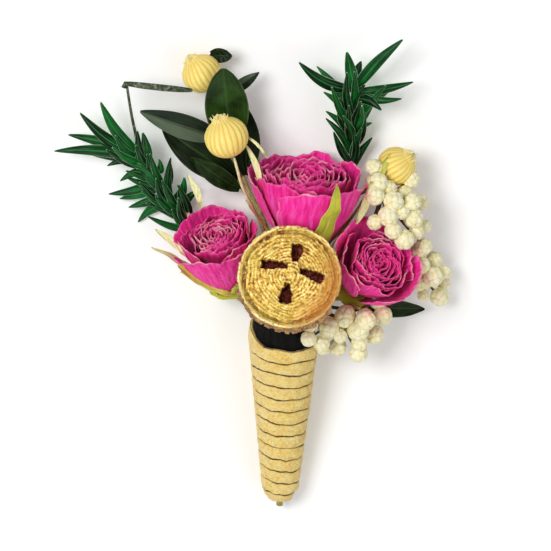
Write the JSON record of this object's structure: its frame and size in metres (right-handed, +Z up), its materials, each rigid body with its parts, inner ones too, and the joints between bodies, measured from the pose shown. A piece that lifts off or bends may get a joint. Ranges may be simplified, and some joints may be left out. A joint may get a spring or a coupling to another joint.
{
  "type": "boutonniere",
  "caption": "Boutonniere of dried roses, gilded seed pod, rice flower, papery buds and rosemary, bound to a tapered suede-wrapped handle, lying on its back.",
  "frame": {"origin": "on the table, under the centre of the piece's bounding box", "axes": "+Y from the wound handle to the flower heads, +Z up from the table towards the faces of the flowers, +X across to the side with the rice flower"},
  "size_m": [0.1115, 0.1354, 0.0414],
  "materials": {
    "rose_petal": "dry, matt magenta petal with a paler edge",
    "sepal": "dry, matt yellow-green sepal",
    "stem": "dry brown-green stem",
    "gilt": "woody pod painted gold",
    "rice_flower": "papery cream flower heads on straw stalks",
    "everlasting_bud": "papery warm yellow, ribbed",
    "rosemary": "leathery dark green leaf, mint below",
    "ruscus": "smooth, nearly black-green preserved leaf",
    "suede": "tan suede ribbon",
    "floral_tape": "waxed crepe tape, nearly black",
    "wire": "green lacquered florist's wire"
  },
  "bodies": {
    "root": {"binding_wire": "wire", "bud_left": "everlasting_bud", "bud_left_stem": "stem", "bud_right": "everlasting_bud", "bud_right_stem": "stem", "bud_top": "everlasting_bud", "bud_top_stem": "stem", "floral_tape": "floral_tape", "lower_leaf": "ruscus", "rice_flower_lower": "rice_flower", "rice_flower_right": "rice_flower", "rice_flower_upper": "rice_flower", "rose_centre_calyx": "sepal", "rose_centre_heart": "rose_petal", "rose_centre_petal_1": "rose_petal", "rose_centre_petal_2": "rose_petal", "rose_centre_petal_3": "rose_petal", "rose_centre_petal_4": "rose_petal", "rose_centre_petal_5": "rose_petal", "rose_centre_stem": "stem", "rose_left_calyx": "sepal", "rose_left_heart": "rose_petal", "rose_left_petal_1": "rose_petal", "rose_left_petal_2": "rose_petal", "rose_left_petal_3": "rose_petal", "rose_left_petal_4": "rose_petal", "rose_left_petal_5": "rose_petal", "rose_left_stem": "stem", "rose_right_calyx": "sepal", "rose_right_heart": "rose_petal", "rose_right_petal_1": "rose_petal", "rose_right_petal_2": "rose_petal", "rose_right_petal_3": "rose_petal", "rose_right_petal_4": "rose_petal", "rose_right_petal_5": "rose_petal", "rose_right_stem": "stem", "rosemary_left": "rosemary", "rosemary_right": "rosemary", "ruscus_leaf_back": "ruscus", "ruscus_leaf_dark": "ruscus", "ruscus_leaf_left": "ruscus", "ruscus_leaf_olive": "ruscus", "ruscus_leaf_small": "ruscus", "ruscus_leaf_top": "ruscus", "ruscus_leaf_upright": "ruscus", "ruscus_stem": "ruscus", "seed_pod": "gilt", "seed_pod_stem": "stem", "suede_ribbon": "suede"}
  },
  "joints": []
}
